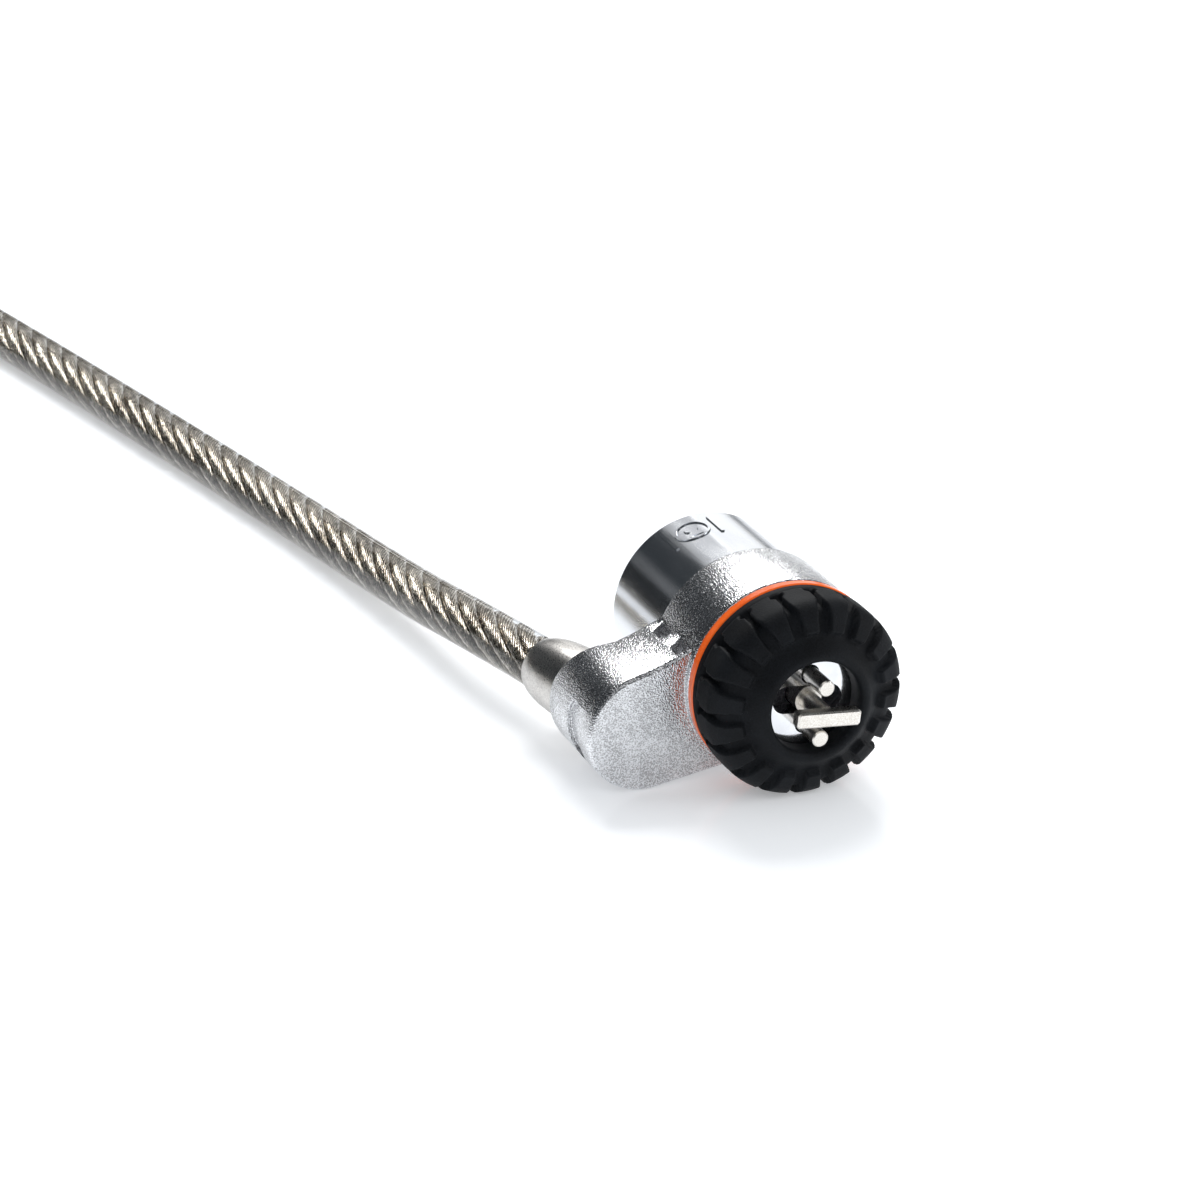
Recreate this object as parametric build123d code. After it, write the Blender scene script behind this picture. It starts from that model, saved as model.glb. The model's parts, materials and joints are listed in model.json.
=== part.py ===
"""Laptop cable lock: locking head, swivel arm and steel cable with its end loop.

Millimetres, +Z up. The lock's axis lies along Y and the head's nose points at -Y.
The origin is on that axis, in the plane of the nose that meets the laptop.
"""
import os
from math import cos, pi, radians, sin, tan

from build123d import *

# ---------------------------------------------------------------- driving dimensions
FLOOR_Z = -10.3             # what the lock and its cable lie on

# nose: bumper, band and the plate behind the opening
BUMPER_R = 10.3             # over the tread blocks
TREADS = 18
TREAD_PHASE = 2.0           # degrees, where the first groove lies
GROOVE_W = 0.5
TREAD_DEPTH = 0.7
BLOCK_FRONT_R = 7.4         # where the blocks end on the front face
OPENING_R = 4.75
NOSE_WALL = 2.5             # rubber in front of the plate
BAND_R = 10.2
BAND_Y = (7.1, 8.25)

# barrel and what turns on it
BARREL_R = 9.5
BARREL_END = 29.1
CAP_Y = (26.0, 28.2)         # back cap, held by an open spring ring
CLIP_T = 0.4
CAP_R = 8.0
CLIP_R = 8.3
NECK_R = 8.6
EMBLEM_Y = (23.3, 27.2)
EMBLEM_ANGLE = 104.0        # degrees up from +X
EMBLEM_SPAN = 31.0
EMBLEM_LIFT = 0.14
SHOULDER_Y = 17.45
RING_R = 10.1
RING_BORE = 9.0
RING_Y = (8.35, 17.15)
RUNNING = 0.05              # radial clearance of turning fits

# locking front: T-bar and pins fit a 7 x 3 mm security slot
FACE_TILT = 6.0             # degrees, how far the head lies turned from level
T_BAR = (6.7, 1.15, 1.6)    # across, along the axis, high
T_BAR_BACK = -1.5
PIN_R = 0.84
PIN_OFFSET = 2.63
PIN_TIP = -1.3
SPINDLE_R = 1.4
STEM_R = 0.95
PLATE_R = 7.55
PLATE_Y = (NOSE_WALL, 4.3)
CARRIER_Y = (4.35, 6.35)
WEB_Y = (6.4, 7.8)

# lock mechanism inside the barrel
SLEEVE_R = 6.55
PLUG_R = 4.7
PLUG_Y = (10.2, 25.95)
DISC_R = 3.5
DISCS = 6
DISC_T = 1.35
SPACER_T = 0.6
DISC_GAP = 0.05
KEY_R = 1.9
SIDEBAR_W = 1.4

# arm
LOBE_X, LOBE_Z, LOBE_R = -14.0, -4.0, 6.25
ARM_FRONT = 9.0
ARM_TOP_SLOPE = 16.0        # degrees
ARM_BOTTOM_SLOPE = 8.4
LOBE_BACK = 19.3            # the lobe flares back to here at its far side
RECESS_ANGLE = 187.0        # round the lobe, middle of the shallow recess
RECESS = (6.4, 2.8)         # round the lobe, along the axis
RECESS_Y = 13.3
RECESS_FLOOR = 5.72

# cable
CABLE_R = 2.75
FERRULE_ANGLE = 14.0        # degrees outwards from straight back
FERRULE_FOOT = (-14.3, 14.5, -4.05)
FERRULE_END = 13.4          # along the ferrule's axis from its foot
FERRULE_SIDE = [                # radius, distance
    (3.9, 4.1), (3.9, 7.0), (3.8, 9.5), (3.6, 11.2), (3.32, 12.4), (2.98, 13.25),
]
FERRULE_POCKET = 4.25
BUSH_R = 3.9
CABLE_Z = FLOOR_Z + CABLE_R
CABLE_ROUTE = [
    (-17.5, 27.31, -4.05),
    (-20.4, 39.5, -5.2),
    (-22.6, 58.5, CABLE_Z),
    (-29.6, 93.0, CABLE_Z),
    (-41.6, 148.0, CABLE_Z),
    (-49.7, 185.4, CABLE_Z),
]
COIL_CENTRE = (-90.68, 175.56)
COIL_INNER = 20.15
COIL_OUTER = 44.9
COIL_TOP_OUTER = 40.8
TOP_TURN_Z = CABLE_Z + 2 * CABLE_R
CRIMP_WALL = 0.8
CRIMP_Z = CABLE_Z + CRIMP_WALL      # the crimp's wall lifts the cable off the floor
LOOP_ROUTE = [
    (-126.7, 162.5, TOP_TURN_Z),
    (-122.9, 141.1, TOP_TURN_Z),
    (-118.3, 119.0, CRIMP_Z),
    (-117.3, 86.0, CRIMP_Z),
    (-127.6, 66.0, CABLE_Z),
    (-140.9, 45.2, CABLE_Z),
    (-138.2, 26.4, CABLE_Z),
    (-123.9, 14.2, CABLE_Z),
    (-105.1, 14.0, CABLE_Z),
    (-90.6, 26.0, CABLE_Z),
    (-87.6, 44.6, CABLE_Z),
    (-100.8, 66.0, CABLE_Z),
    (-111.6, 86.0, CRIMP_Z),
    (-112.3, 108.2, CRIMP_Z),
]
CRIMP_LENGTH = 16.0


# ---------------------------------------------------------------- helpers
def turned(points):
    """Solid of revolution about the lock's axis from (radius, y) points."""
    return revolve(make_face(Polyline(*points, close=True).edges()), Axis.Y)


def tube(outer, inner, y0, y1):
    return turned([(inner, y0), (outer, y0), (outer, y1), (inner, y1)])


def disc(radius, y0, y1):
    return turned([(0, y0), (radius, y0), (radius, y1), (0, y1)])


def rod(radius, start, end):
    """Round bar between two points."""
    axis = Vector(*end) - Vector(*start)
    base = Plane(origin=start, z_dir=tuple(axis))
    return extrude(base * Circle(radius), axis.length)


def block(x, y, z):
    """Box from three (low, high) pairs."""
    size = [high - low for low, high in (x, y, z)]
    middle = [(low + high) / 2 for low, high in (x, y, z)]
    return Pos(*middle) * Box(*size)


def round_the_axis(shape, degrees):
    return shape.rotate(Axis.Y, degrees)


def save(name, shape):
    shape.label = name
    export_step(shape, f"parts/{name}.step")


def group(solids):
    return Compound(children=list(solids))


# ---------------------------------------------------------------- nose
def bumper():
    """Rubber nose: a domed base with tread blocks parted by grooves."""
    rim_y = BAND_Y[0] - 1.15
    block_r = BUMPER_R
    blocks_profile = [
        (OPENING_R, 0.35), (OPENING_R + 0.35, 0.0), (OPENING_R + 0.85, 0.0), (BLOCK_FRONT_R - 0.25, 1.35),
        (BLOCK_FRONT_R, 0.75), (block_r - 0.9, 1.35), (block_r - 0.25, 1.75), (block_r, 2.5),
        (block_r, rim_y - 0.2), (BAND_R - 0.12, rim_y), (BAND_R - 0.12, BAND_Y[0]),
        (NECK_R, BAND_Y[0]), (NECK_R, 5.2), (NECK_R - 0.4, 5.2), (NECK_R - 0.4, 4.4),
        (NECK_R, 4.4), (NECK_R, NOSE_WALL), (OPENING_R, NOSE_WALL),
    ]
    body = turned(blocks_profile)
    floor_r = BUMPER_R - TREAD_DEPTH
    outside = turned([
        (BLOCK_FRONT_R - 0.6, 1.1), (floor_r - 0.9, 2.3), (floor_r, 3.2), (floor_r, rim_y + 0.15),
        (BUMPER_R + 2, rim_y + 0.15), (BUMPER_R + 2, -1.0), (BLOCK_FRONT_R - 0.6, -1.0),
    ])
    grooves = []
    for number in range(TREADS):
        angle = TREAD_PHASE + 360 / TREADS * number
        slot = Pos(9.0, 3.0, 0) * Box(6.0, 8.0, GROOVE_W)
        mouth = extrude(Plane.XZ.offset(-2.6) * make_face(Polyline(
            (6.4, -0.2), (10.6, -0.75), (10.6, 0.75), (6.4, 0.2), close=True).edges()), 3.6)
        grooves.append(round_the_axis(slot + mouth, -angle))
    cutter = Compound(children=grooves).intersect(outside)
    return body - cutter


def band():
    low, high = BAND_Y
    return turned([
        (NECK_R, low), (BAND_R - 0.1, low), (BAND_R, low + 0.15), (BAND_R, high - 0.3),
        (BAND_R - 0.25, high), (NECK_R, high),
    ])


def tilt(shape):
    """Turn a piece from level to how the head lies."""
    return round_the_axis(shape, FACE_TILT)


def pin_places():
    return [(0, PIN_OFFSET), (0, -PIN_OFFSET)]


def pin_bars(radius, y0, y1):
    return [rod(radius, (x, y0, z), (x, y1, z)) for x, z in pin_places()]


def face_plate():
    """Bright plate: a slot that lets the T-bar through, and clear holes for the pins."""
    low, high = PLATE_Y
    plate = disc(PLATE_R, low, high)
    slot = extrude(Plane.XZ.offset(-high - 1) * SlotOverall(7.4, 2.9), high - low + 2)
    plate -= slot
    for hole in pin_bars(PIN_R + 0.14, low - 1, high + 1):
        plate -= hole
    return tilt(plate)


def pin_carrier():
    low, high = CARRIER_Y
    body = disc(PLATE_R - 0.05, low, high) - disc(SPINDLE_R + 0.1, low - 1, high + 1)
    for hole in pin_bars(PIN_R, low - 1, high + 1):
        body -= hole
    return tilt(body)


def lock_pins():
    pins = []
    for pin in pin_bars(PIN_R, PIN_TIP, CARRIER_Y[1]):
        pins.append(chamfer(pin.edges().sort_by(Axis.Y)[0], 0.12))
    return [tilt(pin) for pin in pins]


# ---------------------------------------------------------------- barrel
def emblem():
    """Generic raised mark: a keyhole between two lines, proud of the barrel."""
    shell = tube(BARREL_R + EMBLEM_LIFT, BARREL_R - 0.4, EMBLEM_Y[0] - 1, BARREL_END - 0.9)
    shapes = []
    for side in (-1, 1):
        bar = block((BARREL_R - 1, BARREL_R + 1), EMBLEM_Y, (-0.17, 0.17))
        shapes.append(round_the_axis(bar, -(EMBLEM_ANGLE + side * EMBLEM_SPAN / 2)))
    centre_y = sum(EMBLEM_Y) / 2
    face = Plane(origin=(BARREL_R - 1, centre_y, 0), x_dir=(0, 0, 1), z_dir=(1, 0, 0))
    eye = Circle(0.78)
    skirt = make_face(Polyline((-0.3, 0.4), (0.3, 0.4), (0.75, 1.65), (-0.75, 1.65), close=True).edges())
    frame = Circle(1.9) - Circle(1.62)
    key = extrude(face * (Pos(0, -0.35) * (eye + skirt)), 2)
    frame_ring = extrude(face * frame, 2)
    shapes.append(round_the_axis(key, -EMBLEM_ANGLE))
    shapes.append(round_the_axis(frame_ring, -EMBLEM_ANGLE))
    return [shape & shell for shape in shapes]


def barrel():
    counterbore, end = PLATE_R, BARREL_END
    clip_back = CAP_Y[1] + CLIP_T
    body = turned([
        (counterbore, NOSE_WALL), (NECK_R, NOSE_WALL), (NECK_R, 4.4), (NECK_R - 0.4, 4.4),
        (NECK_R - 0.4, 5.2), (NECK_R, 5.2), (NECK_R, SHOULDER_Y), (BARREL_R - 0.1, SHOULDER_Y),
        (BARREL_R, SHOULDER_Y + 0.1), (BARREL_R, end - 0.55), (BARREL_R - 0.16, end - 0.16),
        (BARREL_R - 0.55, end), (CAP_R, end), (CAP_R, clip_back), (CLIP_R, clip_back), (CLIP_R, CAP_Y[1]),
        (CAP_R, CAP_Y[1]), (CAP_R, CAP_Y[0]), (SLEEVE_R, CAP_Y[0]), (SLEEVE_R, WEB_Y[1]), (2.6, WEB_Y[1]),
        (2.6, WEB_Y[0]), (counterbore, WEB_Y[0]),
    ])
    for mark in emblem():
        body += mark
    return body


def friction_washer():
    return tube(BARREL_R - 0.1, NECK_R + RUNNING, RING_Y[1] + 0.05, SHOULDER_Y)


def plug_sleeve():
    """Brass sleeve with the groove that the sidebar drops out of."""
    body = tube(SLEEVE_R, PLUG_R + RUNNING, WEB_Y[1], CAP_Y[0])
    groove = block((-SIDEBAR_W / 2 - 0.1, SIDEBAR_W / 2 + 0.1), (11.0, 24.0), (4.0, 5.8))
    return body - groove


def back_cap():
    return tube(CAP_R - RUNNING, 4.0, *CAP_Y)


def cap_clip():
    """Open spring ring in the barrel's back groove."""
    low, high = CAP_Y[1], CAP_Y[1] + CLIP_T
    ring = tube(CLIP_R, CLIP_R - 1.0, low, high)
    return ring - block((-1.4, 1.4), (low - 1, high + 1), (-9.0, -5.0))


def spindle_spring():
    return tube(2.5, 1.75, WEB_Y[0] + 0.05, WEB_Y[1] - 0.05)


# ---------------------------------------------------------------- core
def disc_start(number):
    return 11.5 + number * (DISC_T + SPACER_T + 2 * DISC_GAP)


def plug():
    low, high = PLUG_Y
    body = disc(PLUG_R, low, high) - disc(DISC_R + RUNNING, low + 1.25, high + 1)
    slot = block((-SIDEBAR_W / 2 - 0.05, SIDEBAR_W / 2 + 0.05), (11.6, 23.6), (2.0, 6.0))
    return body - slot


def tumbler(number):
    """One disc: half-round key hole, and a gate in the rim for the sidebar."""
    start = disc_start(number)
    body = disc(DISC_R, start, start + DISC_T)
    hole = disc(KEY_R, start - 1, start + DISC_T + 1)
    body -= hole & block((-3, 3), (start - 1, start + DISC_T + 1), (-3, 0.6))
    gate = block((-SIDEBAR_W / 2 - 0.05, SIDEBAR_W / 2 + 0.05), (start - 1, start + DISC_T + 1), (2.6, 4))
    return body - gate


def spacer(number):
    start = disc_start(number) + DISC_T + DISC_GAP
    return tube(2.55, KEY_R, start, start + SPACER_T)


def sidebar():
    bar = block((-SIDEBAR_W / 2, SIDEBAR_W / 2), (11.7, 23.5), (2.7, 4.6))
    return chamfer(bar.edges().filter_by(Axis.Y).group_by(Axis.Z)[-1], 0.35)


def key_disc():
    """Hardened disc with the key opening, at the back of the plug."""
    body = disc(DISC_R, 23.75, PLUG_Y[1] - 0.15)
    opening = disc(KEY_R, 23, 27) & block((-3, 3), (23, 27), (-3, 0.6))
    return body - opening


def drive_disc():
    body = disc(4.4, 8.95, 10.15)
    return body - tilt(block((-1.85, 1.85), (8, 11), (-0.95, 0.95)))


def t_spindle():
    """Spindle with the T-bar at its front and a tang at its back."""
    across, thick, high = T_BAR
    bar = Pos(0, T_BAR_BACK - thick / 2, 0) * Box(across, thick, high)
    bar = chamfer(bar.edges().filter_by(Axis.Y), 0.22)
    bar = chamfer(bar.faces().sort_by(Axis.Y)[0].edges(), 0.16)
    stem = disc(STEM_R, T_BAR_BACK, 2.3)
    shaft = disc(SPINDLE_R, 2.2, 8.0)
    flange = disc(3.6, 7.95, 8.9)
    tang = block((-1.8, 1.8), (8.9, 10.1), (-0.9, 0.9))
    return tilt(bar + stem + shaft + flange + tang)


# ---------------------------------------------------------------- arm
def on_lobe(angle, radius=LOBE_R):
    return (LOBE_X + radius * cos(radians(angle)), LOBE_Z + radius * sin(radians(angle)))


def arm_outline():
    """Arm seen from the front: from the ring down to the round lobe."""
    top_lobe = on_lobe(90 + ARM_TOP_SLOPE)
    low_lobe = on_lobe(270 + ARM_BOTTOM_SLOPE)
    top_ring = (-8.9, 4.35)
    low_ring = (-4.6, -8.95)
    sag = ((top_lobe[0] + top_ring[0]) / 2, (top_lobe[1] + top_ring[1]) / 2 - 0.22)
    edges = [
        ThreePointArc(top_ring, sag, top_lobe),
        ThreePointArc(top_lobe, on_lobe(190), low_lobe),
        Line(low_lobe, low_ring),
        Line(low_ring, (-5.0, 0)),
        Line((-5.0, 0), top_ring),
    ]
    return make_face(edges)


def arm_notches():
    """Two reliefs where the flat top runs into the ring, with a finger between them."""
    cuts = []
    for near, far in ((9.75, 11.35), (13.95, 15.55)):
        outline = make_face(Polyline(
            (-10.75, near), (-8.3, near - 0.9), (-8.3, far + 1.1), (-10.75, far), close=True).edges())
        cuts.append(extrude(Plane.XY.offset(1.0) * outline, 6.0))
    return cuts


def recess_prism(width, height, inner, outer):
    """Obround bar that points out of the lobe through its shallow recess."""
    angle = radians(RECESS_ANGLE)
    out = (cos(angle), 0, sin(angle))
    start = (LOBE_X + inner * out[0], RECESS_Y, LOBE_Z + inner * out[2])
    base = Plane(origin=start, x_dir=(-out[2], 0, out[0]), z_dir=out)
    return extrude(base * SlotOverall(width, height), outer - inner)


def lobe_disc(radius, y0, y1):
    return Pos(LOBE_X, 0, LOBE_Z) * disc(radius, y0, y1)


def along_ferrule(distance):
    angle = radians(FERRULE_ANGLE)
    x, y, z = FERRULE_FOOT
    return (x - sin(angle) * distance, y + cos(angle) * distance, z)


def arm_casting():
    arm = extrude(Plane.XZ.offset(-LOBE_BACK) * arm_outline(), LOBE_BACK - ARM_FRONT)
    front_edges = arm.faces().sort_by(Axis.Y)[0].edges()
    outer = [edge for edge in front_edges if edge.center().X < -8.0]
    arm = chamfer(outer, 0.3)
    back = Polyline((-14.0, RING_Y[1]), (0, RING_Y[1]), (0, 25), (-30, 25),
                    (-30, RING_Y[1] + 0.36 * 16), close=True)
    arm -= extrude(Plane.XY.offset(-15) * make_face(back.edges()), 30)
    for notch in arm_notches():
        arm -= notch
    low, high = RING_Y
    ring = turned([
        (RING_BORE, low), (RING_R - 0.15, low), (RING_R, low + 0.15), (RING_R, high - 0.25),
        (RING_R - 0.25, high), (RING_BORE, high),
    ])
    arm = arm + ring
    arm -= disc(RING_BORE, low - 1, high + 4)
    arm -= recess_prism(*RECESS, 1.0, 8.0) - lobe_disc(RECESS_FLOOR, 9, 20)
    arm -= recess_prism(RECESS[0] - 0.7, RECESS[1] - 0.7, 4.05, 8.0)
    arm -= rod(BUSH_R, along_ferrule(-4.4), along_ferrule(12))
    arm -= rod(FERRULE_POCKET, along_ferrule(3.9), along_ferrule(12))
    return arm


def swivel_bush():
    return tube(RING_BORE, NECK_R + RUNNING, RING_Y[0] + 0.1, RING_Y[1] - 0.05)


def ferrule_bush():
    return rod(BUSH_R, along_ferrule(-2.5), along_ferrule(3.9)) - rod(2.45, along_ferrule(-3), along_ferrule(5))


def ferrule_retainer():
    """Slug whose face is the floor of the lobe's recess."""
    slug = recess_prism(RECESS[0] - 0.7, RECESS[1] - 0.7, 4.35, 8.0)
    return slug & lobe_disc(RECESS_FLOOR, 9, 20)


# ---------------------------------------------------------------- cable
def cable_ferrule():
    flange = rod(3.6, along_ferrule(-4.0), along_ferrule(-2.6))
    neck = rod(2.4, along_ferrule(-2.7), along_ferrule(4.1))
    side = Spline(*FERRULE_SIDE)
    (foot_r, foot), (rim_r, rim) = FERRULE_SIDE[0], FERRULE_SIDE[-1]
    rest = Polyline((rim_r, rim), (rim_r - 0.2, FERRULE_END), (0, FERRULE_END), (0, foot), (foot_r, foot))
    bell = revolve(make_face([side, *rest.edges()]), Axis.Y)
    frame = Plane(origin=FERRULE_FOOT, x_dir=(cos(radians(FERRULE_ANGLE)), sin(radians(FERRULE_ANGLE)), 0),
                  z_dir=(0, 0, 1))
    return flange + neck + frame * bell


def corner_radii(points):
    """Radius of each corner: 0.45 of its shorter run over the tangent of half the turn."""
    radii = []
    for before, here, after in zip(points, points[1:], points[2:]):
        first = Vector(*here) - Vector(*before)
        second = Vector(*after) - Vector(*here)
        half_turn = radians(first.get_angle(second)) / 2
        radii.append(0.45 * min(first.length, second.length) / tan(half_turn))
    return radii


def cable_run(name, points):
    """Tube along straight runs joined by tangent arcs."""
    radii = corner_radii(points)
    path = FilletPolyline(*points, radius=radii)
    start = Plane(origin=points[0], z_dir=tuple(Vector(*points[1]) - Vector(*points[0])))
    solid = sweep(start * Circle(CABLE_R), path=path)
    expected = pi * CABLE_R ** 2 * path.length
    print(name, "radii", [round(radius, 1) for radius in radii])
    print(name, "length", round(path.length, 1), "volume ratio", round(solid.volume / expected, 4))
    return solid


def cable_coil():
    """Outer shape of the wound cable: a wide bottom layer and a narrower top one."""
    layer = 2 * CABLE_R
    low, middle, high = FLOOR_Z, FLOOR_Z + layer, FLOOR_Z + 2 * layer
    profile = Polyline(
        (COIL_INNER, low), (COIL_OUTER, low), (COIL_OUTER, middle), (COIL_TOP_OUTER, middle),
        (COIL_TOP_OUTER, high), (COIL_INNER, high), close=True)
    ring = revolve(Plane.XZ * make_face(profile.edges()), Axis.Z)
    return Pos(COIL_CENTRE[0], COIL_CENTRE[1], 0) * ring


def loop_crimp():
    """Sleeve pressed over the loop's two strands."""
    first, second = Vector(*LOOP_ROUTE[3]), Vector(*LOOP_ROUTE[-2])
    along = Vector(*LOOP_ROUTE[2]) - first
    middle = (first + second) / 2 + along.normalized() * 12
    base = Plane(origin=tuple(middle), x_dir=(0, 0, 1), z_dir=tuple(along))
    across = 4 * CABLE_R + 2 * CRIMP_WALL + 0.3
    outside = Rot(0, 0, 90) * SlotOverall(across, 2 * CABLE_R + 2 * CRIMP_WALL)
    sleeve = extrude(base * outside, CRIMP_LENGTH / 2, both=True)
    return sleeve - cable_run("strands in the crimp", LOOP_ROUTE)


# ---------------------------------------------------------------- all pieces
PIECES = {
    "bumper": bumper,
    "band": band,
    "face_plate": face_plate,
    "pin_carrier": pin_carrier,
    "lock_pins": lambda: group(lock_pins()),
    "barrel": barrel,
    "friction_washer": friction_washer,
    "plug_sleeve": plug_sleeve,
    "back_cap": back_cap,
    "cap_clip": cap_clip,
    "spindle_spring": spindle_spring,
    "plug": plug,
    "tumbler_discs": lambda: group(tumbler(number) for number in range(DISCS)),
    "disc_spacers": lambda: group(spacer(number) for number in range(DISCS - 1)),
    "sidebar": sidebar,
    "key_disc": key_disc,
    "drive_disc": drive_disc,
    "t_spindle": t_spindle,
    "arm_casting": arm_casting,
    "swivel_bush": swivel_bush,
    "ferrule_bush": ferrule_bush,
    "ferrule_retainer": ferrule_retainer,
    "cable_ferrule": cable_ferrule,
    "cable_tube": lambda: cable_run("cable_tube", CABLE_ROUTE),
    "cable_coil": cable_coil,
    "anchor_loop": lambda: cable_run("anchor_loop", LOOP_ROUTE),
    "loop_crimp": loop_crimp,
}

os.makedirs("parts", exist_ok=True)
for piece_name, make in PIECES.items():
    save(piece_name, make())
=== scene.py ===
"""Laptop cable lock: finishes and fine shapes of the head, its swivel arm and the steel cable."""
import json
from math import ceil, cos, pi, radians, sin, tau

import bmesh
import bpy
import numpy as np
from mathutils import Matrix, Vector


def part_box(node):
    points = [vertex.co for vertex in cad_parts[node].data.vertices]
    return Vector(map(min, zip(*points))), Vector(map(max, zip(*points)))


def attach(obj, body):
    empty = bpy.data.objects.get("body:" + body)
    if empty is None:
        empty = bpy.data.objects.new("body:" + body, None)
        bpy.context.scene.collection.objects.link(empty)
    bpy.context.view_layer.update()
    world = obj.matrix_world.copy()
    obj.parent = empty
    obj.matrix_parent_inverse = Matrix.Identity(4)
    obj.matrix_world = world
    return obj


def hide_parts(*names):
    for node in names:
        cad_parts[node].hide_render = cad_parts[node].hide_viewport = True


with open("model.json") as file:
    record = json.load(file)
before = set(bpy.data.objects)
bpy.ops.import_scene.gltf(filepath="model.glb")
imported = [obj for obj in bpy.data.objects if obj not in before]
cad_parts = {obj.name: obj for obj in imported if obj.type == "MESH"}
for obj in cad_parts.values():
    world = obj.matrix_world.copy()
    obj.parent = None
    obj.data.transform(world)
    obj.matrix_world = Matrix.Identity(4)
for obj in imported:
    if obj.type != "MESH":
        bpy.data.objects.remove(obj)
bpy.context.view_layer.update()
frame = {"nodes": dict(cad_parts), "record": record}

bl_info = {
    "name": "Laptop Cable Lock",
    "version": (1, 0, 0),
    "blender": (4, 5, 0),
    "location": "View3D > Sidebar > Cable Lock",
    "description": "Finishes, rubber nose, swivel arm and steel cable of a laptop lock",
    "category": "Object",
}

NODES = frame["nodes"]
MM = 0.001
FLOOR = -10.3 * MM          # what the lock and its cable lie on


# ---------------------------------------------------------------- shader helpers
class Level:
    """A number that a node gives. Arithmetic on it adds Math nodes."""

    def __init__(self, finish, socket):
        self.finish = finish
        self.socket = socket

    def _math(self, operation, first, second):
        node = self.finish.add("ShaderNodeMath", {"operation": operation}, {0: first, 1: second})
        return Level(self.finish, node.outputs[0])

    def __add__(self, other):
        return self._math("ADD", self, other)

    __radd__ = __add__

    def __sub__(self, other):
        return self._math("SUBTRACT", self, other)

    def __rsub__(self, other):
        return self._math("SUBTRACT", other, self)

    def __mul__(self, other):
        return self._math("MULTIPLY", self, other)

    __rmul__ = __mul__


class Nodes:
    """Fills a node tree."""

    def __init__(self, tree):
        self.tree = tree
        tree.nodes.clear()

    def add(self, kind, settings=None, inputs=None):
        """One node: its settings first, then the values or links of its sockets."""
        node = self.tree.nodes.new(kind)
        for name, value in (settings or {}).items():
            setattr(node, name, value)
        for name, value in (inputs or {}).items():
            value = value.socket if isinstance(value, Level) else value
            if isinstance(value, bpy.types.NodeSocket):
                self.tree.links.new(value, node.inputs[name])
            else:
                node.inputs[name].default_value = value
        return node


class Finish(Nodes):
    """A material in the making: a node tree with one surface shader."""

    def __init__(self, name):
        self.material = bpy.data.materials.new(name)
        self.material.use_nodes = True
        super().__init__(self.material.node_tree)
        self.place = self.add("ShaderNodeTexCoord").outputs["Object"]

    def noise(self, size, detail, place=None):
        """Noise from 0 to 1 whose patches are about that many metres across."""
        inputs = {"Vector": place or self.place, "Scale": 1.0 / size, "Detail": detail}
        return Level(self, self.add("ShaderNodeTexNoise", {}, inputs).outputs["Fac"])

    def ramp(self, level, low, high):
        """0 below low, 1 above high, straight between."""
        inputs = {"Value": level, "From Min": low, "From Max": high}
        node = self.add("ShaderNodeMapRange", {"clamp": True}, inputs)
        return Level(self, node.outputs["Result"])

    def mix(self, factor, first, second):
        """Colour between two others."""
        node = self.add("ShaderNodeMix", {"data_type": "RGBA"}, {"Factor": factor, 6: first, 7: second})
        return node.outputs[2]

    def bump(self, height, distance, strength):
        inputs = {"Height": height, "Distance": distance, "Strength": strength}
        return self.add("ShaderNodeBump", {}, inputs).outputs["Normal"]

    def stretched(self, scale):
        """The place on the piece, scaled along each axis."""
        return self.add("ShaderNodeMapping", {}, {"Vector": self.place, "Scale": scale}).outputs[0]

    def surface(self, **inputs):
        """Ends the tree in a Principled shader; _ in a name stands for a space."""
        named = {name.replace("_", " "): value for name, value in inputs.items()}
        shader = self.add("ShaderNodeBsdfPrincipled", {}, named)
        self.add("ShaderNodeOutputMaterial", {}, {"Surface": shader.outputs[0]})
        return self.material


def colour(red, green, blue):
    return (red, green, blue, 1.0)


# ---------------------------------------------------------------- finishes
def blasted_metal(name, light, dark, grain, rough, strength):
    """Bead-blasted metal: a fine sparkling grain over soft patches."""
    f = Finish(name)
    fine = f.noise(grain, 0.0)
    coarse = f.noise(grain * 14, 3.0)
    tone = f.mix(f.ramp(fine * 0.7 + coarse * 0.3, 0.36, 0.62), dark, light)
    normal = f.bump(fine, grain * 0.6, strength)
    return f.surface(Base_Color=tone, Metallic=1.0, Roughness=rough + 0.12 * (fine - 0.5), Normal=normal)


def polished_metal(name, light, dark, rough):
    """Plated and polished metal with faint wiping marks."""
    f = Finish(name)
    marks = f.noise(0.0022, 4.0, f.stretched((1.0, 0.25, 1.0)))
    fine = f.noise(0.0003, 2.0)
    tone = f.mix(f.ramp(marks, 0.3, 0.7), dark, light)
    normal = f.bump(fine, 0.000004, 0.5)
    return f.surface(Base_Color=tone, Metallic=1.0, Roughness=rough + 0.06 * f.ramp(marks, 0.45, 0.8),
                     Normal=normal)


def turned_metal(name, light, dark, rough):
    """Machined metal with fine lines left by the tool round the lock's axis."""
    f = Finish(name)
    cuts = f.noise(0.00022, 3.0, f.stretched((0.12, 1.0, 0.12)))
    stain = f.noise(0.0035, 3.0)
    tone = f.mix(f.ramp(stain, 0.3, 0.75), dark, light)
    return f.surface(Base_Color=tone, Metallic=1.0, Roughness=rough + 0.15 * stain,
                     Normal=f.bump(cuts, 0.00002, 0.5))


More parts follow.
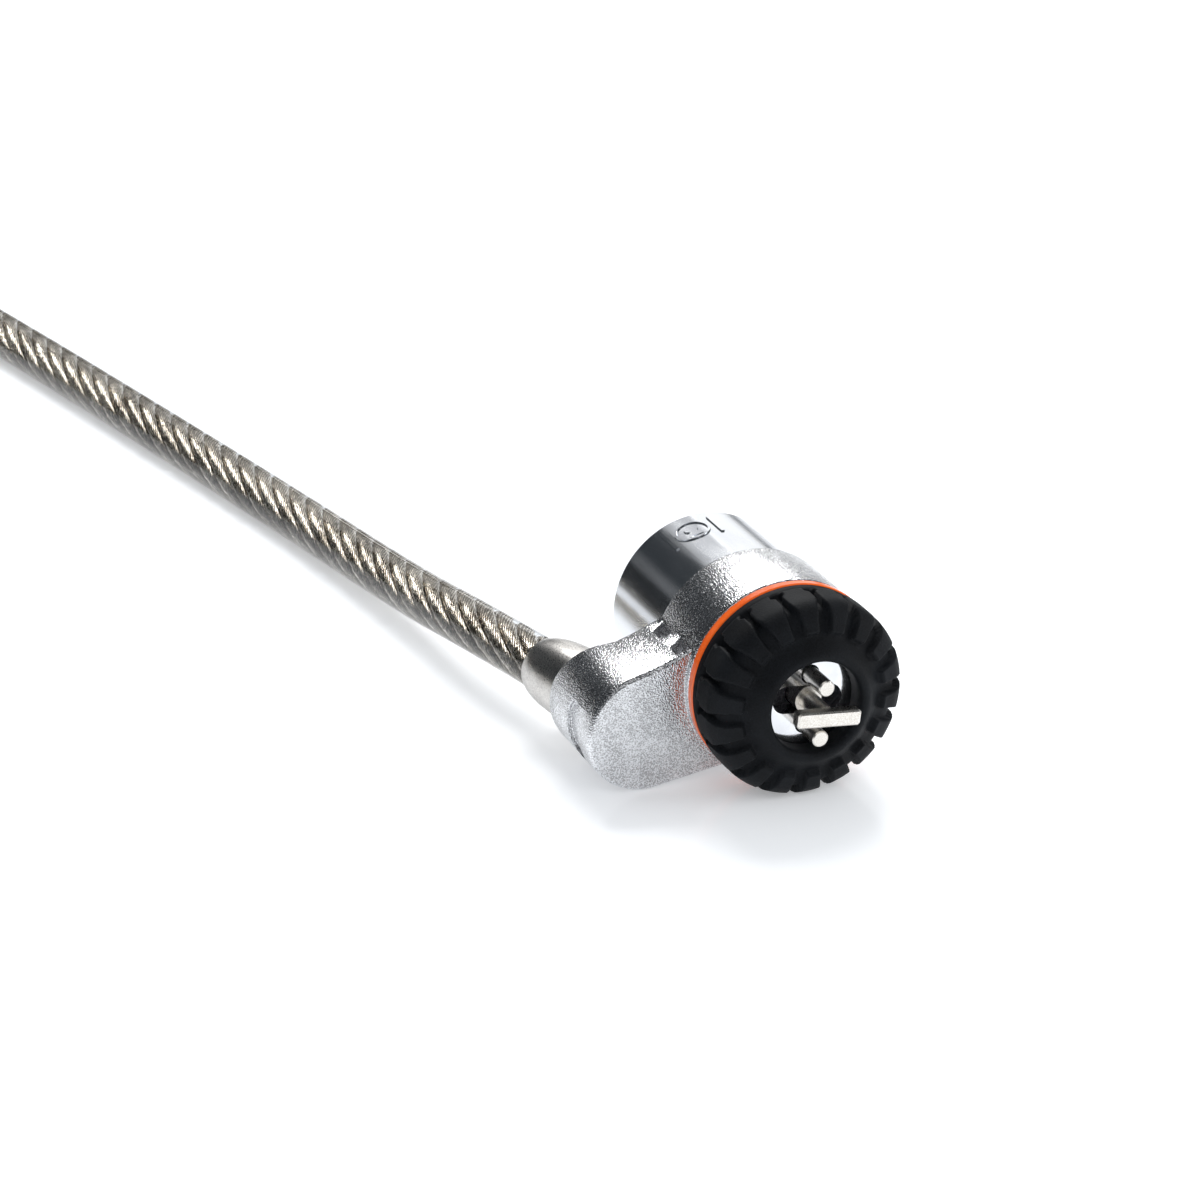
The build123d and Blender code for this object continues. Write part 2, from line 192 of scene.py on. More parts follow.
def moulded(name, light, dark, rough, grain, depth, coat, shine):
    """Moulded rubber or plastic with a fine surface grain."""
    f = Finish(name)
    fine = f.noise(grain, 2.0)
    cloud = f.noise(grain * 30, 3.0)
    tone = f.mix(f.ramp(fine * 0.5 + cloud * 0.5, 0.35, 0.65), dark, light)
    return f.surface(Base_Color=tone, Roughness=rough + 0.16 * (fine - 0.5), Coat_Weight=coat,
                     Normal=f.bump(fine, depth, 0.6), Specular_IOR_Level=shine)


def recipes():
    """For each of the record's materials, the kind of finish and its values."""
    looks = bpy.context.scene.lock_looks
    return {
        "rubber": (moulded, "matte_rubber", colour(*looks.rubber), colour(0.003, 0.0035, 0.0045), 0.62,
                   0.00014, 0.00007, 0.0, 0.16),
        "band_orange": (moulded, "gloss_orange", colour(*looks.band), colour(0.86, 0.1, 0.006), 0.22, 0.0002,
                        0.000004, 0.4, 0.5),
        "plate_nickel": (polished_metal, "plate_chrome", colour(0.86, 0.87, 0.89), colour(0.72, 0.73, 0.76),
                         0.07),
        "hardened_steel": (blasted_metal, "hardened_steel", colour(0.7, 0.68, 0.65), colour(0.5, 0.48, 0.46),
                           0.0001, 0.34, 0.14),
        "pin_nickel": (blasted_metal, "pin_nickel", colour(0.9, 0.87, 0.82), colour(0.7, 0.66, 0.6), 0.0001,
                       0.3, 0.14),
        "barrel_chrome": (polished_metal, "barrel_chrome", colour(0.8, 0.82, 0.85), colour(0.7, 0.72, 0.76),
                          0.17),
        "brass": (turned_metal, "plug_brass", colour(0.78, 0.55, 0.22), colour(0.55, 0.36, 0.13), 0.25),
        "spring_steel": (turned_metal, "spring_steel", colour(0.55, 0.55, 0.56), colour(0.35, 0.35, 0.37),
                         0.3),
        "satin_zinc": (blasted_metal, "satin_zinc", colour(0.86, 0.87, 0.89), colour(0.44, 0.44, 0.45),
                       0.00014, 0.24, 0.62),
        "acetal": (moulded, "white_acetal", colour(0.74, 0.73, 0.7), colour(0.62, 0.61, 0.58), 0.4, 0.00025,
                   0.00001, 0.0, 0.5),
        "ferrule_steel": (blasted_metal, "ferrule_steel", colour(0.68, 0.66, 0.63), colour(0.5, 0.48, 0.46),
                          0.00013, 0.3, 0.12),
    }


def finish_for(slot):
    """A new material with the finish of a slot."""
    kind, *values = recipes()[slot]
    return kind(*values)


def dress(names, material):
    """Gives CAD pieces their finish."""
    for name in names:
        mesh = NODES[name].data
        if not mesh.materials:
            mesh.materials.append(material)
        for index in range(len(mesh.materials)):
            mesh.materials[index] = material


# ---------------------------------------------------------------- settings
class LooksSettings(bpy.types.PropertyGroup):
    """Colours of the lock"""
    rubber: bpy.props.FloatVectorProperty(
        name="Rubber", description="Colour of the rubber nose", subtype="COLOR", size=3,
        default=(0.009, 0.011, 0.014), min=0, max=1)
    band: bpy.props.FloatVectorProperty(
        name="Band", description="Colour of the band behind the nose", subtype="COLOR", size=3,
        default=(1.0, 0.155, 0.012), min=0, max=1)
    sheath: bpy.props.FloatVectorProperty(
        name="Sheath", description="Tint of the clear cable sheath", subtype="COLOR", size=3,
        default=(0.78, 0.83, 0.88), min=0, max=1)


class CableSettings(bpy.types.PropertyGroup):
    """Sizes of the steel cable"""
    radius: bpy.props.FloatProperty(
        name="Radius", description="Outside radius of the sheath", default=0.00275, unit="LENGTH")
    lay: bpy.props.FloatProperty(
        name="Lay", description="Length of one turn of the strands", default=0.0242, unit="LENGTH")
    strands: bpy.props.IntProperty(name="Strands", description="Strands round the rope", default=6, min=3)
    wires: bpy.props.IntProperty(name="Wires", description="Wires round each strand", default=12, min=5)
    wired_length: bpy.props.FloatProperty(
        name="Wired length", description="Stretch next to the lock whose wires are modelled one by one",
        default=0.15, unit="LENGTH")


# ---------------------------------------------------------------- stage
CAMERA_PLACE = (-0.14327, -0.29253, 0.15520)
CAMERA_TURN = (66.15, 0.0, -22.39)
CAMERA_LENS = 112.0
SENSOR = 36.0
FLOOR_REACH = 4.0
FLOOR_GLOW = 0.3            # keeps the shadow on the white floor pale
ROOM_LIGHT = 0.6            # soft light from all round
ROOM_MIRRORED = 0.05        # how bright the same room is in reflections
CARD = (-0.46, -0.1, 0.34, 0.085)   # left end, right end, distance, top
LAMPS = (                   # name, place, aim, size, power
    ("softbox_back", (0.37, 0.665, 0.25), (0.0, 0.0, 0.0), (0.31, 0.36), 0.42),
    ("veil_back", (0.085, 0.69, 0.4), (0.0, 0.0, 0.0), (0.3, 0.45), 0.19),
    ("softbox_over", (0.17, 0.5, 0.62), (0.0, 0.0, 0.0), (0.42, 0.28), 4.4),
    ("fill_front", (-0.1, -0.5, 0.6), (0.0, 0.0, 0.0), (0.6, 0.4), 0.7),
    ("back_strip", (-0.42, 0.75, 0.2), (-0.02, 0.0, 0.0), (0.05, 0.3), 0.01),
    ("side_strip", (0.6, -0.25, 0.2), (0.0, 0.0, 0.0), (0.25, 0.35), 1.2),
)


def area_light(name, place, aim, size, power):
    lamp = bpy.data.lights.new(name, "AREA")
    lamp.shape = "RECTANGLE"
    lamp.size, lamp.size_y = size
    lamp.energy = power
    holder = bpy.data.objects.new(name, lamp)
    holder.location = place
    holder.rotation_euler = (Vector(aim) - Vector(place)).to_track_quat("-Z", "Y").to_euler()
    bpy.context.scene.collection.objects.link(holder)


def floor_finish():
    f = Finish("pale_floor")
    cloud = f.noise(0.3, 2.0)
    tone = f.mix(cloud, colour(0.93, 0.935, 0.945), colour(0.95, 0.955, 0.965))
    return f.surface(Base_Color=tone, Roughness=0.16 + 0.04 * cloud, Specular_IOR_Level=0.4,
                     Emission_Color=tone, Emission_Strength=FLOOR_GLOW)


def dark_card():
    """Black card standing behind the coil; only mirrored rays see it."""
    left, right, behind, top = CARD
    mesh = bpy.data.meshes.new("dark_card")
    corners = [(left, behind, FLOOR), (right, behind, FLOOR), (right, behind, top), (left, behind, top)]
    mesh.from_pydata(corners, [], [(0, 1, 2, 3)])
    f = Finish("black_card")
    cloud = f.noise(0.05, 2.0)
    tone = f.mix(cloud, colour(0.004, 0.005, 0.006), colour(0.012, 0.013, 0.015))
    mesh.materials.append(f.surface(Base_Color=tone, Roughness=0.9))
    card = bpy.data.objects.new("dark_card", mesh)
    card.visible_camera = False
    card.visible_diffuse = False
    card.visible_shadow = False
    card.visible_transmission = False
    return card


def studio_world():
    """White to the camera, pale as soft light, dark to every other ray."""
    world = bpy.data.worlds.new("studio")
    world.use_nodes = True
    nodes = Nodes(world.node_tree)
    path = nodes.add("ShaderNodeLightPath").outputs

    def background(tint, strength):
        return nodes.add("ShaderNodeBackground", {}, {"Color": tint, "Strength": strength}).outputs[0]

    seen = background(colour(0.8, 0.9, 1.0), ROOM_MIRRORED)
    for ray, tint, strength in (("Is Diffuse Ray", colour(0.9, 0.95, 1.0), ROOM_LIGHT),
                                ("Is Camera Ray", colour(1.0, 1.0, 1.0), 1.0)):
        above = background(tint, strength)
        seen = nodes.add("ShaderNodeMixShader", {}, {0: path[ray], 1: seen, 2: above}).outputs[0]
    nodes.add("ShaderNodeOutputWorld", {}, {"Surface": seen})
    bpy.context.scene.world = world


class LOCK_OT_stage(bpy.types.Operator):
    """Floor, lights and camera"""
    bl_idname = "lock.stage"
    bl_label = "Stage"

    def execute(self, context):
        mesh = bpy.data.meshes.new("floor")
        signs = ((-1, -1), (1, -1), (1, 1), (-1, 1))
        mesh.from_pydata([(FLOOR_REACH * x, FLOOR_REACH * y, FLOOR) for x, y in signs], [], [(0, 1, 2, 3)])
        mesh.materials.append(floor_finish())
        ground = bpy.data.objects.new("floor", mesh)
        context.scene.collection.objects.link(ground)
        context.scene.collection.objects.link(dark_card())
        studio_world()
        for lamp in LAMPS:
            area_light(*lamp)
        lens = bpy.data.cameras.new("camera")
        lens.lens = CAMERA_LENS
        lens.sensor_width = SENSOR
        camera = bpy.data.objects.new("camera", lens)
        camera.location = CAMERA_PLACE
        camera.rotation_euler = [radians(turn) for turn in CAMERA_TURN]
        context.scene.collection.objects.link(camera)
        context.scene.camera = camera
        context.scene.view_settings.view_transform = "Standard"
        return {"FINISHED"}


# ---------------------------------------------------------------- cable
CABLE_Z = -7.55             # millimetres, like the routes and the coil
TOP_TURN_Z = -2.05
CRIMP_Z = -6.75
CABLE_ROUTE = [
    (-17.5, 27.31, -4.05),
    (-20.2, 39.5, -4.3),
    (-22.0, 55.0, -6.2),
    (-25.4, 80.0, CABLE_Z),
    (-32.2, 112.0, CABLE_Z),
    (-40.6, 150.0, CABLE_Z),
]
LOOP_ROUTE = [
    (-126.7, 162.5, TOP_TURN_Z),
    (-122.9, 141.1, TOP_TURN_Z),
    (-118.3, 119.0, CRIMP_Z),
    (-117.3, 86.0, CRIMP_Z),
    (-127.6, 66.0, CABLE_Z),
    (-140.9, 45.2, CABLE_Z),
    (-138.2, 26.4, CABLE_Z),
    (-123.9, 14.2, CABLE_Z),
    (-105.1, 14.0, CABLE_Z),
    (-90.6, 26.0, CABLE_Z),
    (-87.6, 44.6, CABLE_Z),
    (-100.8, 66.0, CABLE_Z),
    (-111.6, 86.0, CRIMP_Z),
    (-112.3, 108.2, CRIMP_Z),
]
COIL_CENTRE = (-90.68, 175.56)
COIL_START = 13.5           # degrees, where the cable comes in
COIL_WIDE = 42.15
TURNS_IN, TURNS_UP, TURNS_OUT = 3.5, 0.25, 2.75
TURN_PITCH = 5.5
TURN_POINTS = 20


def coil_points():
    """Bottom layer wound inwards, a short climb, then the top layer wound outwards."""
    points = []
    total = TURNS_IN + TURNS_UP + TURNS_OUT
    steps = round(total * TURN_POINTS)
    for step in range(steps + 1):
        turn = total * step / steps
        climb = min(max((turn - TURNS_IN) / TURNS_UP, 0.0), 1.0)
        radius = COIL_WIDE - TURN_PITCH * min(turn, TURNS_IN)
        radius += TURN_PITCH * max(turn - TURNS_IN - TURNS_UP, 0.0)
        radius /= cos(pi / TURN_POINTS)
        angle = radians(COIL_START) + tau * turn
        points.append((
            COIL_CENTRE[0] + radius * cos(angle),
            COIL_CENTRE[1] + radius * sin(angle),
            CABLE_Z + (TOP_TURN_Z - CABLE_Z) * climb,
        ))
    return points


def cable_curve(radius):
    """The whole cable as one smooth curve, from the ferrule to the end in the crimp."""
    points = CABLE_ROUTE + coil_points() + LOOP_ROUTE
    curve = bpy.data.curves.new("cable_sheath", "CURVE")
    curve.dimensions = "3D"
    spline = curve.splines.new("NURBS")
    spline.points.add(len(points) - 1)
    for point, place in zip(spline.points, points):
        point.co = (*(value * MM for value in place), 1.0)
    spline.order_u = 3
    spline.use_endpoint_u = True
    curve.resolution_u = 8
    curve.bevel_depth = radius
    curve.bevel_resolution = 6
    curve.use_fill_caps = True
    curve.twist_mode = "MINIMUM"
    sheath = bpy.data.objects.new("cable_sheath", curve)
    bpy.context.scene.collection.objects.link(sheath)
    return sheath


def centre_line(sheath):
    """Points along the curve without its thickness."""
    bare = sheath.copy()
    bare.data = sheath.data.copy()
    bare.data.bevel_depth = 0.0
    bare.data.use_fill_caps = False
    bpy.context.scene.collection.objects.link(bare)
    bpy.context.view_layer.update()
    line = bpy.data.meshes.new_from_object(bare.evaluated_get(bpy.context.evaluated_depsgraph_get()))
    points = np.array([vertex.co for vertex in line.vertices])
    bpy.data.objects.remove(bare)
    bpy.data.meshes.remove(line)
    return points


class Line:
    """Even steps along a path, each with its direction and two sideways vectors."""

    def __init__(self, points, start, end, step):
        gaps = np.linalg.norm(np.diff(points, axis=0), axis=1)
        along = np.concatenate([[0], np.cumsum(gaps)])
        end = min(end, along[-1])
        self.at = np.linspace(start, end, max(int(ceil((end - start) / step)), 2) + 1)
        self.points = np.stack([np.interp(self.at, along, points[:, axis]) for axis in range(3)], axis=1)
        self.ahead = unit(np.gradient(self.points, axis=0))
        up = np.array([0.0, 0.0, 1.0])
        self.side = unit(np.cross(self.ahead, up))
        self.over = np.cross(self.side, self.ahead)


def unit(vectors):
    return vectors / np.linalg.norm(vectors, axis=-1, keepdims=True)


def tube_faces(rings, sides, first):
    """Quads between rings of vertices, and a cap on each end."""
    faces = []
    for ring in range(rings - 1):
        for side in range(sides):
            a = first + ring * sides + side
            b = first + ring * sides + (side + 1) % sides
            faces.append((a, b, b + sides, a + sides))
    last = first + (rings - 1) * sides
    faces.append(tuple(first + side for side in reversed(range(sides))))
    faces.append(tuple(last + side for side in range(sides)))
    return faces


def tube_rings(path, radius, sides):
    """Rings of vertices round a path of any shape."""
    ahead = unit(np.gradient(path, axis=0))
    side = unit(np.cross(ahead, np.roll(ahead, 1, axis=1) + np.array([0.3, 0.5, 0.1])))
    for row in range(1, len(path)):
        flat = side[row - 1] - ahead[row] * np.dot(side[row - 1], ahead[row])
        side[row] = flat / np.linalg.norm(flat)
    over = np.cross(ahead, side)
    turns = np.arange(sides) * tau / sides
    ring = (side[:, None, :] * np.cos(turns)[None, :, None]
            + over[:, None, :] * np.sin(turns)[None, :, None])
    return (path[:, None, :] + radius * ring).reshape(-1, 3)


def helix(line, radius, lay, phase):
    """Path that winds round a line, and the vectors out from it and round it."""
    turn = (phase - tau * line.at / lay)[:, None]
    out = np.cos(turn) * line.side + np.sin(turn) * line.over
    path = line.points + radius * out
    ahead = unit(np.gradient(path, axis=0))
    return path, out, np.cross(ahead, out)


ROPE_R = 2.1 * MM
ROPE_SINKS = 0.4 * MM       # how far the rope lies under the sheath's middle
CORE_R = 0.82 * MM
STRAND_R = 0.69 * MM
WIRE_R = 0.145 * MM
WIRE_LAY = 16.0 * MM
STRAND_SIDES = 8
WIRE_SIDES = 5
WIRED_STEPS, PLAIN_STEPS = 16, 11   # rings to a turn of the strands
SPAN_OVERLAP = 1.5 * MM     # plain strands start inside the wired ones


def rope_mesh(points, settings):
    """Strands laid round a core; near the lock their outer wires are laid one by one."""
    vertices, faces, ring_count = [], [], 0
    long = float(np.linalg.norm(np.diff(points, axis=0), axis=1).sum())
    spans = ((0.0, settings.wired_length, True), (settings.wired_length - SPAN_OVERLAP, long, False))
    for start, end, wired in spans:
        line = Line(points, start, end, settings.lay / (WIRED_STEPS if wired else PLAIN_STEPS))
        tubes = []
        for strand in range(settings.strands):
            phase = tau * strand / settings.strands
            middle = ROPE_R - STRAND_R
            path, out, round_it = helix(line, middle, settings.lay, phase)
            if not wired:
                tubes.append((path, STRAND_R, STRAND_SIDES))
                continue
            tubes.append((path, STRAND_R - 1.5 * WIRE_R, STRAND_SIDES - 2))
            for wire in range(settings.wires):
                turn = (tau * wire / settings.wires + tau * line.at / WIRE_LAY)[:, None]
                laid = path + (STRAND_R - WIRE_R) * (np.cos(turn) * out + np.sin(turn) * round_it)
                tubes.append((laid, WIRE_R, WIRE_SIDES))
        tubes.append((line.points, CORE_R, STRAND_SIDES - 2))
        for path, radius, sides in tubes:
            vertices.append(tube_rings(path, radius, sides))
            faces += tube_faces(len(path), sides, ring_count)
            ring_count += len(path) * sides
    mesh = bpy.data.meshes.new("rope_strands")
    mesh.from_pydata(np.concatenate(vertices).tolist(), [], faces)
    mesh.polygons.foreach_set("use_smooth", [True] * len(mesh.polygons))
    mesh.update()
    return mesh


def sheath_finish(tint):
    """Clear soft sheath: faintly tinted and uneven, with a soft shine."""
    f = Finish("clear_sheath")
    cloud = f.noise(0.0011, 2.0)
    normal = f.bump(f.noise(0.003, 1.0), 0.00003, 0.3)
    tone = f.mix(cloud, tint, colour(0.9, 0.93, 0.96))
    return f.surface(Base_Color=tone, Roughness=0.02, IOR=1.2, Transmission_Weight=1.0, Normal=normal,
                     Coat_Weight=0.3, Coat_Roughness=0.12, Coat_IOR=1.7)


def wire_finish():
    """Drawn steel wire: slightly warm, in lighter and darker patches."""
    f = Finish("drawn_wire")
    fine = f.noise(0.00035, 2.0)
    cloud = f.noise(0.004, 2.0)
    patches = f.ramp(fine * 0.6 + cloud * 0.4, 0.35, 0.65)
    tone = f.mix(patches, colour(0.24, 0.2, 0.155), colour(0.88, 0.81, 0.71))
    return f.surface(Base_Color=tone, Metallic=1.0, Roughness=0.16 + 0.1 * fine)


class LOCK_OT_cable(bpy.types.Operator):
    """Steel cable with its clear sheath, coil and end loop, running into the crimp"""
    bl_idname = "lock.cable"
    bl_label = "Cable"

    def execute(self, context):
        settings = context.scene.lock_cable
        looks = context.scene.lock_looks
        sheath = cable_curve(settings.radius)
        sheath.data.materials.append(sheath_finish(colour(*looks.sheath)))
        points = centre_line(sheath) - np.array([0.0, 0.0, ROPE_SINKS])
        rope = bpy.data.objects.new("rope_strands", rope_mesh(points, settings))
        rope.data.materials.append(wire_finish())
        context.scene.collection.objects.link(rope)
        sheath.visible_shadow = False
        for piece, slot in ((sheath, "cable_sheath"), (rope, "spring_steel")):
            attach(piece, "cable")
        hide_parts("cable_tube", "cable_coil", "anchor_loop")
        return {"FINISHED"}


# ---------------------------------------------------------------- rubber nose
class NoseSettings(bpy.types.PropertyGroup):
    """Sizes of the rubber nose"""
    radius: bpy.props.FloatProperty(
        name="Radius", description="Radius over the tread blocks", default=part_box("bumper")[1].x,
        unit="LENGTH")
    opening: bpy.props.FloatProperty(
        name="Opening", description="Radius of the opening in front of the plate", default=0.00475,
        unit="LENGTH")
    treads: bpy.props.IntProperty(name="Treads", description="Tread blocks round the nose", default=18, min=6)
    depth: bpy.props.FloatProperty(
        name="Tread depth", description="How far the blocks stand out", default=0.0008, unit="LENGTH")


TREAD_PHASE = 2.0           # degrees, where the first groove lies
SECTOR_STEPS = 30
SKIN_STEP = 0.11 * MM
GAP_HALF = 0.2 * MM         # half a groove's width on the nose's side
GAP_FRONT = 0.34 * MM       # and what is added round the front
GAP_BACK = 0.3 * MM         # and next to the band
GAP_WALL = 0.13 * MM        # how wide the side of a block slopes
GAP_SINKS = 0.12 * MM       # how far a groove dips next to the band
FRONT_LOW = 0.12            # how much lower a block is at the front


def smooth(low, high, value):
    part = np.clip((value - low) / (high - low), 0.0, 1.0)
    return part * part * (3.0 - 2.0 * part)


def nose_profile(nose):
    """Outline of the nose as (radius, y) in metres: its outside, which carries the treads, and its inside."""
    wide = nose.radius - nose.depth
    back = 7.1 * MM
    seat = 8.6 * MM
    opening = nose.opening
    outside = [
        (10.08 * MM, back), (10.08 * MM, 6.5 * MM), (wide + 0.35 * MM, 6.1 * MM),
        (wide + 0.08 * MM, 5.75 * MM), (wide, 5.2 * MM), (wide, 4.4 * MM), (wide, 3.6 * MM),
        (wide - 0.06 * MM, 3.0 * MM),
        (wide - 0.25 * MM, 2.55 * MM), (wide - 0.6 * MM, 2.2 * MM), (wide - 1.1 * MM, 1.95 * MM),
        (wide - 1.7 * MM, 1.72 * MM), (7.35 * MM, 1.5 * MM), (6.95 * MM, 1.28 * MM), (6.5 * MM, 0.85 * MM),
        (6.05 * MM, 0.4 * MM), (opening + 0.9 * MM, 0.08 * MM), (opening + 0.55 * MM, 0.0),
        (opening + 0.28 * MM, 0.06 * MM), (opening + 0.08 * MM, 0.22 * MM), (opening, 0.5 * MM),
    ]
    inside = [(opening, 2.45 * MM), (seat, 2.5 * MM), (seat, back)]
    return outside, inside


def refined(points, step):
    """More points along an outline, on a smooth curve through the given ones."""
    points = np.array(points)
    gaps = np.linalg.norm(np.diff(points, axis=0), axis=1)
    along = np.concatenate([[0], np.cumsum(gaps)])
    at = np.linspace(0, along[-1], int(along[-1] / step))
    line = np.stack([np.interp(at, along, points[:, axis]) for axis in (0, 1)], axis=1)
    for _ in range(3):
        line[1:-1] = (line[:-2] + 2 * line[1:-1] + line[2:]) / 4
    return line


def tread_sector(nose):
    """One groove-to-groove slice of the nose as a grid, its tread block raised with soft edges."""
    outside, inside = nose_profile(nose)
    skin = refined(outside, SKIN_STEP)
    slope = unit(np.gradient(skin, axis=0))
    normal = np.stack([-slope[:, 1], slope[:, 0]], axis=1)
    across = 0.5 - 0.5 * np.cos(np.linspace(0.0, pi, SECTOR_STEPS + 1))
    wide_arc = tau / nose.treads * skin[:, :1]
    from_gap = np.minimum(across, 1.0 - across)[None, :] * wide_arc
    radius, y = skin[:, :1], skin[:, 1:]
    front = smooth(3.4 * MM, 2.2 * MM, y)
    hook = smooth(4.9 * MM, 5.4 * MM, y)
    half_gap = GAP_HALF + GAP_FRONT * front + GAP_BACK * hook
    block = smooth(half_gap, half_gap + GAP_WALL, from_gap)
    block = block * smooth(6.3 * MM, 6.05 * MM, y)
    block = block * smooth(7.15 * MM, 7.42 * MM, radius)
    height = nose.depth * block * (1.0 - FRONT_LOW * front)
    height = height - GAP_SINKS * hook * (1 - block) * smooth(6.3 * MM, 5.9 * MM, y)
    turn = radians(TREAD_PHASE) + across[None, :] * tau / nose.treads
    spread = np.minimum(radius + height * normal[:, :1], nose.radius)
    forward = y + height * normal[:, 1:]
    rows = [(spread[row], forward[row]) for row in range(len(skin))]
    rows += [(np.full_like(across, place[0]), np.full_like(across, place[1])) for place in inside]
    vertices = [
        (float(r * cos(a)), float(v), float(r * sin(a)))
        for row_r, row_y in rows for r, v, a in zip(row_r, row_y, turn[0])
    ]
    width = len(across)
    faces = []
    for row in range(len(rows)):
        after = (row + 1) % len(rows)
        for column in range(SECTOR_STEPS):
            faces.append((row * width + column, row * width + column + 1,
                          after * width + column + 1, after * width + column))
    mesh = bpy.data.meshes.new("tread_sector")
    mesh.from_pydata(vertices, [], faces)
    mesh.update()
    return mesh


def socket_id(tree, name):
    return next(item.identifier for item in tree.interface.items_tree if item.name == name)


def round_pattern_tree():
    """Geometry Nodes: copies of a slice turned about the lock's axis and joined into one skin."""
    tree = bpy.data.node_groups.new("round_pattern", "GeometryNodeTree")
    for name, kind in (("Slice", "NodeSocketGeometry"), ("Count", "NodeSocketInt"),
                       ("Seam", "NodeSocketFloat"), ("Material", "NodeSocketMaterial")):
        tree.interface.new_socket(name, in_out="INPUT", socket_type=kind)
    tree.interface.new_socket("Skin", in_out="OUTPUT", socket_type="NodeSocketGeometry")

    nodes = Nodes(tree)
    given = nodes.add("NodeGroupInput").outputs
    points = nodes.add("GeometryNodePoints", {}, {"Count": given["Count"]})
    index = nodes.add("GeometryNodeInputIndex")
    step = nodes.add("ShaderNodeMath", {"operation": "DIVIDE"}, {0: tau, 1: given["Count"]})
    angle = nodes.add("ShaderNodeMath", {"operation": "MULTIPLY"}, {0: index.outputs[0], 1: step.outputs[0]})
    turn = nodes.add("ShaderNodeCombineXYZ", {}, {"Y": angle.outputs[0]})
    copies = nodes.add("GeometryNodeInstanceOnPoints", {}, {
        "Points": points.outputs[0], "Instance": given["Slice"], "Rotation": turn.outputs[0]})
    real = nodes.add("GeometryNodeRealizeInstances", {}, {0: copies.outputs[0]})
    weld = nodes.add("GeometryNodeMergeByDistance", {}, {0: real.outputs[0], "Distance": given["Seam"]})
    soft = nodes.add("GeometryNodeSetShadeSmooth", {}, {0: weld.outputs[0]})
    finish = nodes.add("GeometryNodeSetMaterial", {}, {0: soft.outputs[0], "Material": given["Material"]})
    nodes.add("NodeGroupOutput", {}, {0: finish.outputs[0]})
    return tree


def baked(name, holder):
    """Plain mesh piece from an object with live modifiers, which is then removed."""
    bpy.context.view_layer.update()
    mesh = bpy.data.meshes.new_from_object(holder.evaluated_get(bpy.context.evaluated_depsgraph_get()))
    mesh.name = name
    bpy.data.objects.remove(holder)
    piece = bpy.data.objects.new(name, mesh)
    bpy.context.scene.collection.objects.link(piece)
    return piece


def point_outwards(mesh):
    """Makes every face of a closed skin look outwards."""
    work = bmesh.new()
    work.from_mesh(mesh)
    bmesh.ops.recalc_face_normals(work, faces=work.faces)
    work.to_mesh(mesh)
    work.free()


class LOCK_OT_nose(bpy.types.Operator):
    """Rubber nose with its tread blocks"""
    bl_idname = "lock.nose"
    bl_label = "Rubber nose"

    def execute(self, context):
        nose = context.scene.lock_nose
        holder = bpy.data.objects.new("nose_slices", tread_sector(nose))
        context.scene.collection.objects.link(holder)
        tree = round_pattern_tree()
        pattern = holder.modifiers.new("pattern", "NODES")
        pattern.node_group = tree
        pattern[socket_id(tree, "Count")] = nose.treads
        pattern[socket_id(tree, "Seam")] = 0.01 * MM
        pattern[socket_id(tree, "Material")] = finish_for("rubber")
        piece = baked("rubber_nose", holder)
        point_outwards(piece.data)
        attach(piece, "head")
        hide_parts("bumper")
        return {"FINISHED"}


# ---------------------------------------------------------------- arm
EDGE_ANGLE = 28.0           # degrees, edges sharper than this are rounded
ARM_EDGE = 0.1 * MM
MERGE_GAP = 0.002 * MM
FLAT_ANGLE = 0.6            # degrees, faces closer than this become one


def merged_copy(node, name):
    """A CAD piece's mesh with its loose triangles joined and flat faces made whole."""
    mesh = NODES[node].data.copy()
    mesh.name = name
    work = bmesh.new()
    work.from_mesh(mesh)
    bmesh.ops.remove_doubles(work, verts=work.verts, dist=MERGE_GAP)
    bmesh.ops.dissolve_limit(work, angle_limit=radians(FLAT_ANGLE), verts=work.verts, edges=work.edges)
    for face in work.faces:
        face.smooth = True
    work.to_mesh(mesh)
    work.free()
    return mesh


class LOCK_OT_arm(bpy.types.Operator):
    """Cast arm with its softly rounded edges"""
    bl_idname = "lock.arm"
    bl_label = "Swivel arm"

    def execute(self, context):
        holder = bpy.data.objects.new("arm_work", merged_copy("arm_casting", "arm_work"))
        holder.data.materials.clear()
        holder.data.materials.append(finish_for("satin_zinc"))
        context.scene.collection.objects.link(holder)
        edge = holder.modifiers.new("edges", "BEVEL")
        edge.width = ARM_EDGE
        edge.segments = 3
        edge.limit_method = "ANGLE"
        edge.angle_limit = radians(EDGE_ANGLE)
        edge.use_clamp_overlap = False
        edge.harden_normals = True
        piece = baked("cast_arm", holder)
        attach(piece, "arm")
        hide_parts("arm_casting")
        return {"FINISHED"}


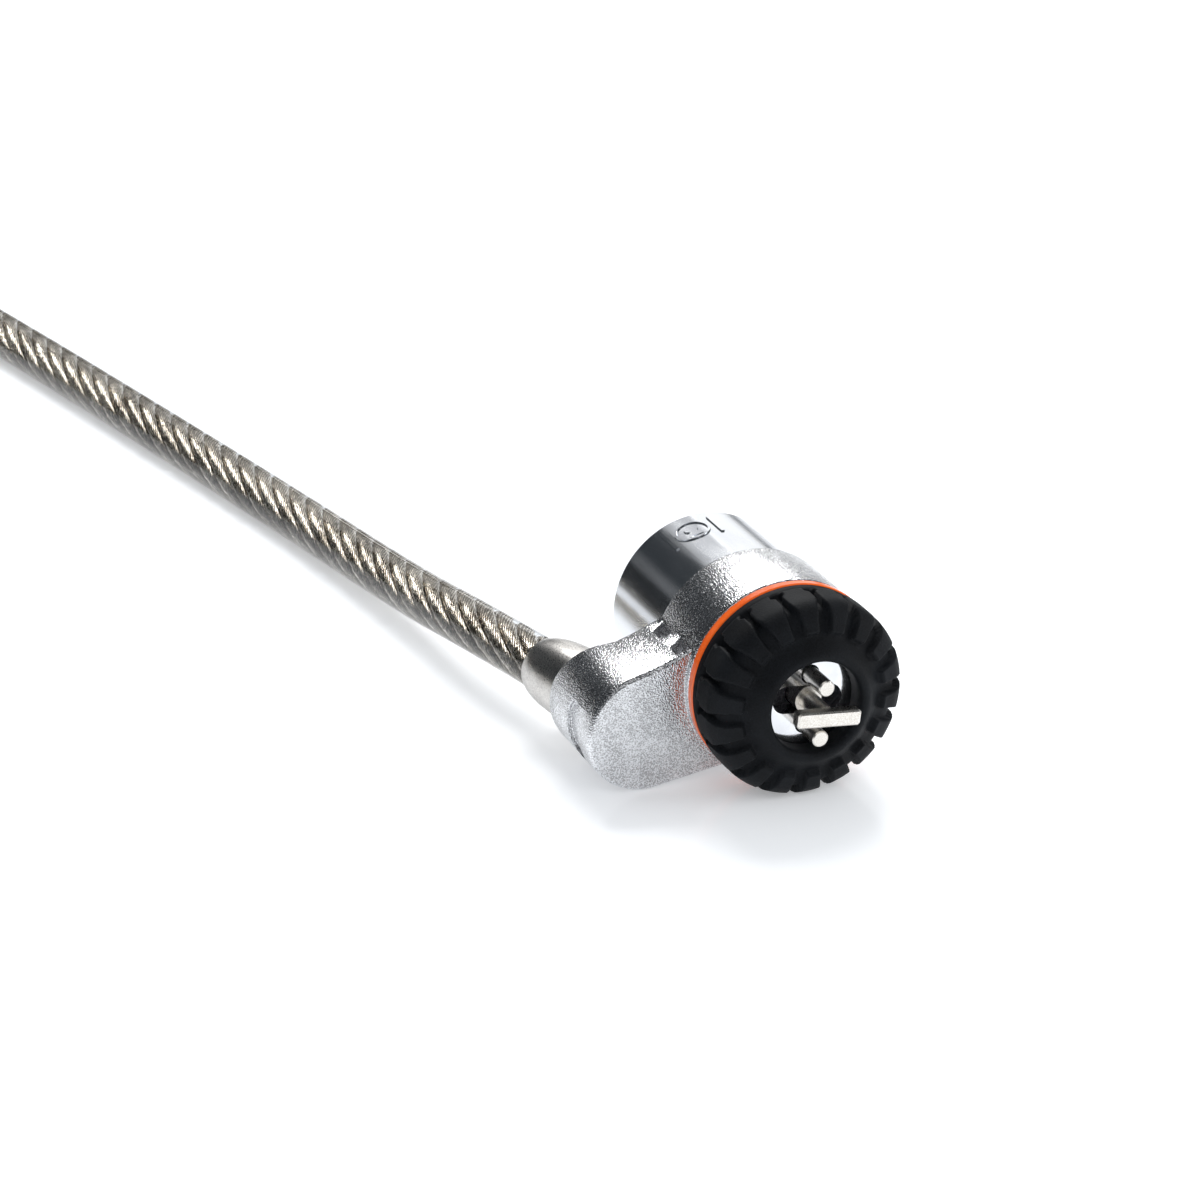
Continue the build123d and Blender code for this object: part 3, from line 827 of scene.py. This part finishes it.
# ---------------------------------------------------------------- metal pieces
class LOCK_OT_metal(bpy.types.Operator):
    """Finishes of the head, the pins, the mechanism and the fittings"""
    bl_idname = "lock.metal"
    bl_label = "Metal and plastic parts"

    def execute(self, context):
        slots = {name: NODES[name].data.materials[0].name.split(".")[0]
                 for name in NODES if NODES[name].data.materials}
        known = recipes()
        for entry in frame["record"]["materials"]:
            names = [name for name in slots if slots[name] == entry["slot"]]
            if names and entry["slot"] in known:
                dress(names, finish_for(entry["slot"]))
        # Painted shade: the pin carrier behind the plate's slot gets a near-black finish, so the slot reads
        # as a dark hollow.
        slot_shade_finish = blasted_metal("black_oxide", colour(0.05, 0.05, 0.055), colour(0.02, 0.02, 0.024), 0.0002,
                              0.4, 0.4)
        dress(["pin_carrier"], slot_shade_finish)
        return {"FINISHED"}


class LOCK_PT_panel(bpy.types.Panel):
    """Sizes and colours of the cable lock"""
    bl_idname = "LOCK_PT_panel"
    bl_label = "Cable Lock"
    bl_space_type = "VIEW_3D"
    bl_region_type = "UI"
    bl_category = "Cable Lock"

    def draw(self, context):
        for group in (context.scene.lock_looks, context.scene.lock_cable, context.scene.lock_nose):
            box = self.layout.box()
            for name in group.__annotations__:
                box.prop(group, name)
        for operator in STEPS:
            self.layout.operator(operator.bl_idname)


STEPS = (LOCK_OT_stage, LOCK_OT_cable, LOCK_OT_nose, LOCK_OT_arm, LOCK_OT_metal)
CLASSES = (LooksSettings, CableSettings, NoseSettings, *STEPS, LOCK_PT_panel)


def register():
    for cls in CLASSES:
        bpy.utils.register_class(cls)
    bpy.types.Scene.lock_looks = bpy.props.PointerProperty(type=LooksSettings)
    bpy.types.Scene.lock_cable = bpy.props.PointerProperty(type=CableSettings)
    bpy.types.Scene.lock_nose = bpy.props.PointerProperty(type=NoseSettings)


def unregister():
    del bpy.types.Scene.lock_nose
    del bpy.types.Scene.lock_cable
    del bpy.types.Scene.lock_looks
    for cls in reversed(CLASSES):
        bpy.utils.unregister_class(cls)


def main():
    register()
    bpy.ops.lock.stage()
    bpy.ops.lock.cable()
    bpy.ops.lock.nose()
    bpy.ops.lock.arm()
    bpy.ops.lock.metal()


if __name__ == "__main__":
    main()
